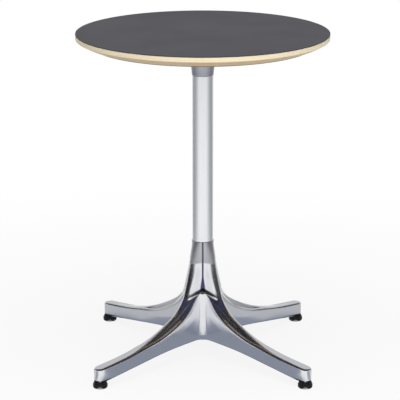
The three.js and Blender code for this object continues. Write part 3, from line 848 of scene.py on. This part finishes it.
# %% Tie rod, washers and nut
ROD = 5
ROD_BOTTOM = 40.9
ROD_THREAD_TOP = 66
ROD_TOP = 531
WASHER_BOTTOM = 56
rod = threaded(4.2, ROD, 1.5, ROD_BOTTOM, ROD_THREAD_TOP)
turned([(0, ROD_THREAD_TOP), (ROD, ROD_THREAD_TOP), (ROD, ROD_TOP), (0, ROD_TOP)], 48, rod)
add_piece("rod", rod, zinc, "zinc_steel", "table", "tie_rod")

washer = round_edges(turned(ring_outline(ROD_HOLE, 10, WASHER_BOTTOM, HUB_FLOOR), 64), 0.25)
add_piece("washer", washer, zinc, "zinc_steel", "table", "tie_rod_washer")

SPRING_STEPS = 56
SPRING_CLIMB = 0.25
spring = bmesh.new()
square = [spring.verts.new((radius * MM, 0, height * MM))
          for radius, height in ring_outline(ROD_HOLE, 8.6, 53.7, 55.7)[:4]]
sides = [spring.edges.new(pair) for pair in zip(square, square[1:] + square[:1])]
bmesh.ops.spin(spring, geom=square + sides, axis=(0, 0, 1), cent=(0, 0, 0), angle=math.radians(350),
               steps=SPRING_STEPS, dvec=(0, 0, SPRING_CLIMB / SPRING_STEPS * MM))
bmesh.ops.holes_fill(spring, edges=[edge for edge in spring.edges if edge.is_boundary])
bmesh.ops.recalc_face_normals(spring, faces=spring.faces)
add_piece("spring_washer", round_edges(spring, 0.2), zinc, "zinc_steel", "table", "tie_rod_lock_washer")


def hexagon(angle):
    """The radius of a hexagon with flats 1 from its middle, at an angle."""
    return 1 / math.cos((angle + math.pi / 6) % (math.pi / 3) - math.pi / 6)


NUT_BOTTOM = 45.6
NUT_TOP = 53.6
NUT_RIM = 7.7
NUT_HALF_FLATS = 8
NUT_SLANT = 0.6
nut = bmesh.new()
nut_levels = [(ROD_HOLE, NUT_BOTTOM, None), (NUT_RIM, NUT_BOTTOM, None),
              (NUT_HALF_FLATS, NUT_BOTTOM + NUT_SLANT, hexagon), (NUT_HALF_FLATS, NUT_TOP - NUT_SLANT, hexagon),
              (NUT_RIM, NUT_TOP, None), (ROD_HOLE, NUT_TOP, None)]
nut_rings = [ring(nut, radius, height, 48, outline) for radius, height, outline in nut_levels]
bridged(nut, nut_rings, False, False)
bmesh.ops.bridge_loops(nut, edges=nut_rings[-1] + nut_rings[0])
bmesh.ops.recalc_face_normals(nut, faces=nut.faces)
add_piece("nut", nut, zinc, "zinc_steel", "table", "tie_rod_nut", smooth_below=25)

# %% [markdown]
# ## Feet
#
# Each foot stands on a screw glide. A threaded bush is set into the foot, and a stud runs in it. A
# black cup covers the stud's flange, and under the cup lies a nickel-plated disc with a rolled
# edge, which slides over the floor without marking it. The real foot has a hole for the bush. Here
# the foot is closed below, so bush and stud run through its skin, and only the bush's thin flange
# stands proud.

# %% Outlines of the bush, cup and disc
FOOT = NECK * UNDERSIDE[-1]
GLIDE_RADIUS = 12.2
CUP_BOTTOM = 4.5
CUP_TOP = FOOT - 0.3
BUSH_BORE = 4.2
BUSH_LIP = FOOT - 0.12
disc_rim = interpolate_bezier(Vector((8.8, 0)), Vector((10.9, 0)), Vector((12.1, 1.3)),
                              Vector((GLIDE_RADIUS, 3.4)), 10)
DISC = [(0, 0), *[tuple(p) for p in disc_rim], (GLIDE_RADIUS, 4.0), (12.0, 4.2), (2.7, 4.2), (2.7, 1.6),
        (0, 1.6)]
cup_side = interpolate_bezier(Vector((GLIDE_RADIUS, 6.0)), Vector((12.1, 7.6)), Vector((11.0, 8.6)),
                              Vector((10.5, 10.6)), 8)
CUP = [(7.3, CUP_BOTTOM), (11.9, CUP_BOTTOM), (GLIDE_RADIUS, CUP_BOTTOM + 0.3), *[tuple(p) for p in cup_side],
       (10.2, CUP_TOP - 0.2), (9.9, CUP_TOP), (4.2, CUP_TOP), (4.2, 7.4), (7.3, 7.4), (7.3, CUP_BOTTOM)]
BUSH = [(BUSH_BORE, BUSH_LIP), (6.6, BUSH_LIP), (6.6, FOOT + 1), (6.4, FOOT + 1), (6.4, FOOT + 18),
        (BUSH_BORE, FOOT + 18), (BUSH_BORE, BUSH_LIP)]
print(f"The cup fills the space from {CUP_BOTTOM} to {CUP_TOP:.1f} mm")

# %% [markdown]
# The four glides are alike. Each is made on the table's axis, moved out to the leg's reach and
# turned to its leg. Stud and cup turn together, while the disc only goes up and down.


# %% Glides on their legs
STUD_OUTLINE = [(0, 1.9), (2.4, 1.9), (2.4, 4.5), (7, 4.5), (7, 7.1), (3.6, 7.1), (3.6, 8.3), (0, 8.3)]


def stud():
    return turned(STUD_OUTLINE, 48, threaded(3.35, 3.9, 1.25, 8.2, FOOT + 15))


for number, angle in enumerate(LEG_ANGLES, 1):
    spot = Matrix.Rotation(angle, 4, "Z") @ Matrix.Translation((REACH * MM, 0, 0))
    parts = [
        (f"bush_{number}", turned(BUSH, 48), zinc, "zinc_steel", "table", f"foot_insert_{number}"),
        (f"stud_{number}", stud(), zinc, "zinc_steel", f"glide_screw_{number}", f"glide_stud_{number}"),
        (f"cup_{number}", turned(CUP, 64), black, "black_plastic",
         f"glide_screw_{number}", f"glide_cup_{number}"),
        (f"disc_{number}", turned(DISC, 64), nickel, "nickel_steel",
         f"glide_base_{number}", f"glide_disc_{number}"),
    ]
    for name, bm, finish, slot, body, solid in parts:
        bmesh.ops.transform(bm, matrix=spot, verts=bm.verts)
        add_piece(name, bm, finish, slot, body, solid)

# %% [markdown]
# ## The studio
#
# Polished metal has no colour of its own to speak of. It shows the room, so the room has to be
# built with as much care as the table. The floor is one wide white sheet. It fades into a white
# world, and from below it lets the camera look through, so that the underside can be inspected.
#
# The floor's finish starts from the place on the sheet: how far a point lies from the table's
# axis, how far to one side, and how far towards the back.


# %% Place on the floor
def glow(finish, color):
    return add_node(finish, "Emission", {}, Color=color, Strength=1.0).outputs[0]


def either_surface(finish, amount, first, second):
    """One surface where the amount is 0, another where it is 1."""
    return add_node(finish, "MixShader", {}, n0=amount, n1=first, n2=second).outputs[0]


sheet_finish, sheet_shader = start_finish("white_sheet", (0.8, 0.8, 0.8), 1.0, 0.0, Specular_IOR_Level=0.0)
spot = add_node(sheet_finish, "TexCoord", {}).outputs["Object"]
spot_parts = add_node(sheet_finish, "SeparateXYZ", {}, Vector=spot)
distance = add_node(sheet_finish, "VectorMath", {"operation": "LENGTH"}, n0=spot).outputs["Value"]
aside = maths(sheet_finish, "ABSOLUTE", spot_parts.outputs["X"])
backwards = spot_parts.outputs["Y"]
fade = between(sheet_finish, step(sheet_finish, distance, 0.35, 1.2), 0.86, 1.0)
for_camera = either_surface(sheet_finish, fade, sheet_shader.outputs[0], glow(sheet_finish, (1, 1, 1, 1)))
print("The floor is plain white to the camera from 1.2 m on")

# %% [markdown]
# Mirror rays see other shades on the floor than the camera does. What stood round the real table
# is unknown, so the shades are a guess, placed until the metal looked right from the front. From
# some other sides, low ones most of all, it looks darker.
#
# Each mask below is 1 on one part of the floor: close round the glides, along the legs, in the
# open spaces before and behind the table, and far off. Those round the glides, along the legs and
# under the top carry painted shadow, which only mirror rays see.


# %% Parts of the floor
def floor_maths(operation, *values):
    return maths(sheet_finish, operation, *values)


def mask(amount, start, end):
    return step(sheet_finish, amount, start, end)


def patch(across, left, right, ahead, front, back):
    """A soft-edged rectangle on the floor."""
    edges = [(across, left, left + 0.02), (across, right, right - 0.02), (ahead, front, front + 0.02),
             (ahead, back, back - 0.02)]
    masks = [mask(*edge) for edge in edges]
    return floor_maths("MINIMUM", floor_maths("MINIMUM", *masks[:2]), floor_maths("MINIMUM", *masks[2:]))


glide_x, glide_y = (floor_maths("SUBTRACT", floor_maths("ABSOLUTE", side), REACH / math.sqrt(2) * MM)
                    for side in (aside, backwards))
squares = [floor_maths("POWER", side, 2.0) for side in (glide_x, glide_y)]
to_glide = floor_maths("SQRT", floor_maths("ADD", *squares))
# A dark ring round each glide, open in a thin strip in line with it: painted shadow of the glide, and a painted
# highlight where the nickel disc mirrors the strip.
painted_glide_shadow = floor_maths("MULTIPLY", mask(to_glide, 0.036, 0.026),
                       mask(floor_maths("ABSOLUTE", glide_x), 0.004, 0.008))
to_leg = floor_maths("ABSOLUTE", floor_maths("SUBTRACT", aside, floor_maths("ABSOLUTE", backwards)))
# Along the legs and under the top: painted shadow of the legs and the top, for mirror rays only.
painted_leg_shadow = floor_maths("MULTIPLY", mask(to_leg, 0.105, 0.065), mask(distance, 0.30, 0.22))
painted_table_shadow = floor_maths("MAXIMUM", painted_leg_shadow, mask(distance, 0.22, 0.195))
before_table = floor_maths("SUBTRACT", floor_maths("MULTIPLY", backwards, -2.4), aside)
open_front = mask(before_table, -0.03, 0.04)
open_back = mask(floor_maths("SUBTRACT", backwards, aside), -0.03, 0.04)
away = floor_maths("SUBTRACT", floor_maths("MULTIPLY", backwards, -1.24), aside)
open_far = mask(floor_maths("DIVIDE", away, distance), -1.2, 0.6)
in_ring = floor_maths("MULTIPLY", mask(distance, 0.66, 0.57), mask(backwards, 0.12, 0.04))
far_front = floor_maths("MULTIPLY", mask(backwards, 0.4, 0.0), mask(distance, 4.0, 4.6))
print("Glides stand", round(REACH / math.sqrt(2)), "mm aside")

# %% [markdown]
# The shades are laid over each other one by one, as sheets of paper would be. Each covers what lies
# under it where its mask is 1.


# %% Shades for mirrors
def where(first, second, amount):
    """One colour where the mask is 0, another where it is 1."""
    return blended(sheet_finish, amount, first, second)


LIGHT = (0.90, 0.90, 0.90)
GREY = (0.38, 0.38, 0.39)
outer = where(GREY, (0.95, 0.95, 0.95), in_ring)
far_off = where(GREY, (1.0, 1.0, 1.0), open_far)
layers = [
    (outer, mask(distance, 0.48, 0.54)),
    (LIGHT, open_front),
    (far_off, mask(distance, 0.57, 0.66)),
    (LIGHT, open_back),
    # painted shadow of the legs and the top, bluish grey
    ((0.26, 0.28, 0.34), painted_table_shadow),
    ((0.34, 0.35, 0.39), patch(aside, 0.20, 0.28, backwards, -0.27, -0.15)),
    ((0.04, 0.04, 0.05), patch(aside, 0.15, 0.28, backwards, -0.13, 0.0)),
    # painted shadow round the glides
    ((0.02, 0.02, 0.02), painted_glide_shadow),
    ((0.035, 0.035, 0.05), far_front),
]
mirrored = where(LIGHT, (0.50, 0.51, 0.53), mask(aside, 0.08, 0.22))
for shade, amount in layers:
    mirrored = where(mirrored, shade, amount)
print("Shades over the first one:", len(layers))

# %% [markdown]
# A Light Path node tells which kind of ray arrives, and picks the camera's floor, the mirrors'
# floor or the plain matt sheet. The sheet is a big disc that faces up. Seen from its back it is
# clear.


# %% Lay the floor
def studio_piece(name, bm, material):
    data = bpy.data.meshes.new(name)
    bm.to_mesh(data)
    bm.free()
    data.materials.append(material)
    made = bpy.data.objects.new(name, data)
    bpy.context.scene.collection.objects.link(made)
    return made


FLOOR_RADIUS = 40
rays = add_node(sheet_finish, "LightPath", {}).outputs
with_mirrors = either_surface(sheet_finish, rays["Is Glossy Ray"], sheet_shader.outputs[0],
                              glow(sheet_finish, mirrored))
lit = either_surface(sheet_finish, rays["Is Camera Ray"], with_mirrors, for_camera)
from_below = add_node(sheet_finish, "NewGeometry", {}).outputs["Backfacing"]
clear = add_node(sheet_finish, "BsdfTransparent", {}).outputs[0]
join(sheet_finish, either_surface(sheet_finish, from_below, lit, clear),
     sheet_finish.node_tree.nodes["Material Output"].inputs["Surface"])
sheet_bm = bmesh.new()
bmesh.ops.create_circle(sheet_bm, cap_ends=True, segments=96, radius=FLOOR_RADIUS)
studio_piece("floor", sheet_bm, sheet_finish)
print("The floor is a disc of", FLOOR_RADIUS, "m radius")

# %% [markdown]
# Rays from the camera and rays that mirrors or glass send on see the world as plain white. All
# other rays get a softer grey from it, which lights wood and laminate at a level where they show
# the colour they were given. It is softest towards the back.

# %% World
world = bpy.data.worlds.new("studio")
bpy.context.scene.world = world
world.use_nodes = True
sky = world.node_tree.nodes["Background"]
sky.inputs["Color"].default_value = (1, 1, 1, 1)
seen = add_node(world, "LightPath", {}).outputs
direct = maths(world, "MAXIMUM", seen["Is Camera Ray"], seen["Is Glossy Ray"])
direct = maths(world, "MAXIMUM", direct, seen["Is Transmission Ray"])
towards = add_node(world, "SeparateXYZ", {}, Vector=add_node(world, "TexCoord", {}).outputs["Generated"])
BACK_LIGHT = 0.26
FRONT_LIGHT = 0.64
soft_light = between(world, step(world, towards.outputs["Y"], 0.6, -0.6), BACK_LIGHT, FRONT_LIGHT)
join(world, mixed(world, direct, soft_light, 1.0), sky.inputs["Strength"])
print("The world lights the table at", BACK_LIGHT, "from the back and", FRONT_LIGHT, "from the front")

# %% [markdown]
# ## Dark cloths
#
# In an all-white room polished metal would look like white paint. A photographer hangs dark cloth
# just outside the picture, and its reflections draw the shape of the metal. Between the cloths the
# white room shows as bright bands.
#
# Each cloth here is a patch of a big sphere round the table, given by the compass directions and
# heights it covers, in degrees. The camera stands at -90. Only mirror rays see the cloths, so they
# take no light from the rest.


# %% Hang the cloths
def cloth(name, left, right, low, high, grey, far=6.0):
    dark = bpy.data.materials.new(name)
    dark.use_nodes = True
    join(dark, glow(dark, (*grey, 1)), dark.node_tree.nodes["Material Output"].inputs["Surface"])
    bm = bmesh.new()
    heights = [math.radians(low + (high - low) * part / CLOTH_ROWS) for part in range(CLOTH_ROWS + 1)]
    points = [bm.verts.new((far * math.cos(h), 0, far * math.sin(h) + CLOTH_CENTRE)) for h in heights]
    lines = [bm.edges.new(pair) for pair in zip(points, points[1:])]
    bmesh.ops.rotate(bm, verts=bm.verts, cent=(0, 0, 0), matrix=Matrix.Rotation(math.radians(left), 3, "Z"))
    bmesh.ops.spin(bm, geom=points + lines, axis=(0, 0, 1), cent=(0, 0, 0), angle=math.radians(right - left),
                   steps=CLOTH_COLUMNS)
    made = studio_piece(name, bm, dark)
    made.visible_camera = made.visible_diffuse = made.visible_shadow = made.visible_transmission = False


CLOTH_ROWS = 12
CLOTH_COLUMNS = 24
CLOTH_CENTRE = 0.15
CLOTHS = [
    ("cloth_ceiling", -188, 172, 62, 86, (0.030, 0.028, 0.028)),
    ("cloth_above", -188, 8, 18, 62, (0.030, 0.028, 0.028)),
    ("cloth_navy", -120, -60, 18, 50, (0.030, 0.032, 0.100), 5.8),
    ("cloth_front_left", -188, -90, -2, 18, (0.010, 0.010, 0.014)),
    ("cloth_front_right", -90, 8, -2, 18, (0.048, 0.045, 0.050)),
    ("cloth_left_low", -235, -188, -2, 15, (0.45, 0.45, 0.47)),
    ("cloth_left_high", -210, -188, 15, 62, (0.06, 0.06, 0.065)),
    ("cloth_right_low", 8, 55, -2, 15, (0.36, 0.36, 0.38)),
    ("cloth_right_high", 8, 30, 15, 62, (0.08, 0.08, 0.085)),
    ("cloth_behind", 30, 150, 15, 62, (0.56, 0.56, 0.58)),
    ("cloth_behind_low", 55, 125, 3, 15, (0.56, 0.56, 0.58)),
]
for row in CLOTHS:
    cloth(*row)
print("Cloths:", len(CLOTHS))

# %% [markdown]
# ## Lamps
#
# The world lights the table from all round. Two large soft lamps, one overhead and one in front,
# add to it. Mirror rays pass them by, because the bright bands on the metal come from the room.


# %% Lamps
def softbox(name, place_at, size, power):
    light = bpy.data.lights.new(name, "AREA")
    light.shape = "RECTANGLE"
    light.size, light.size_y = size
    light.energy = power
    lamp = bpy.data.objects.new(name, light)
    lamp.location = place_at
    lamp.rotation_euler = (LAMP_AIM - Vector(place_at)).to_track_quat("-Z", "Y").to_euler()
    lamp.visible_glossy = False
    bpy.context.scene.collection.objects.link(lamp)
    print(f"Lamp {name}: {power} W, {size[0]} m wide")


LAMP_AIM = Vector((0, 0, 0.25))
softbox("overhead", (0, -0.4, 2.6), (1.8, 1.8), 30)
softbox("front", (0.6, -2.6, 1.3), (1.4, 1.4), 26)

# %% [markdown]
# ## Camera
#
# A camera was fitted to the photograph from the round edge of the top, the four glides on the floor
# and the column's width. Its lens is known in pixels of a picture 400 wide, and turns into a focal
# length with the width of Blender's sensor. A small shift puts the table's axis where it was.

# %% Camera
PICTURE = 400
LENS_PIXELS = 1879
SHIFT_PIXELS = 2.75
SENSOR = 36
LOOK_DOWN = 15.56
camera_data = bpy.data.cameras.new("camera")
camera_data.lens = LENS_PIXELS / PICTURE * SENSOR
camera_data.shift_x = -SHIFT_PIXELS / PICTURE
camera_data.clip_end = 100
camera = bpy.data.objects.new("camera", camera_data)
camera.location = (0, -3.0868, 1.1346)
camera.rotation_euler = (math.radians(90 - LOOK_DOWN), 0, 0)
bpy.context.scene.collection.objects.link(camera)
bpy.context.scene.camera = camera
bpy.context.scene.view_settings.view_transform = "Standard"
print("Focal length:", round(camera_data.lens), "mm")

# %% [markdown]
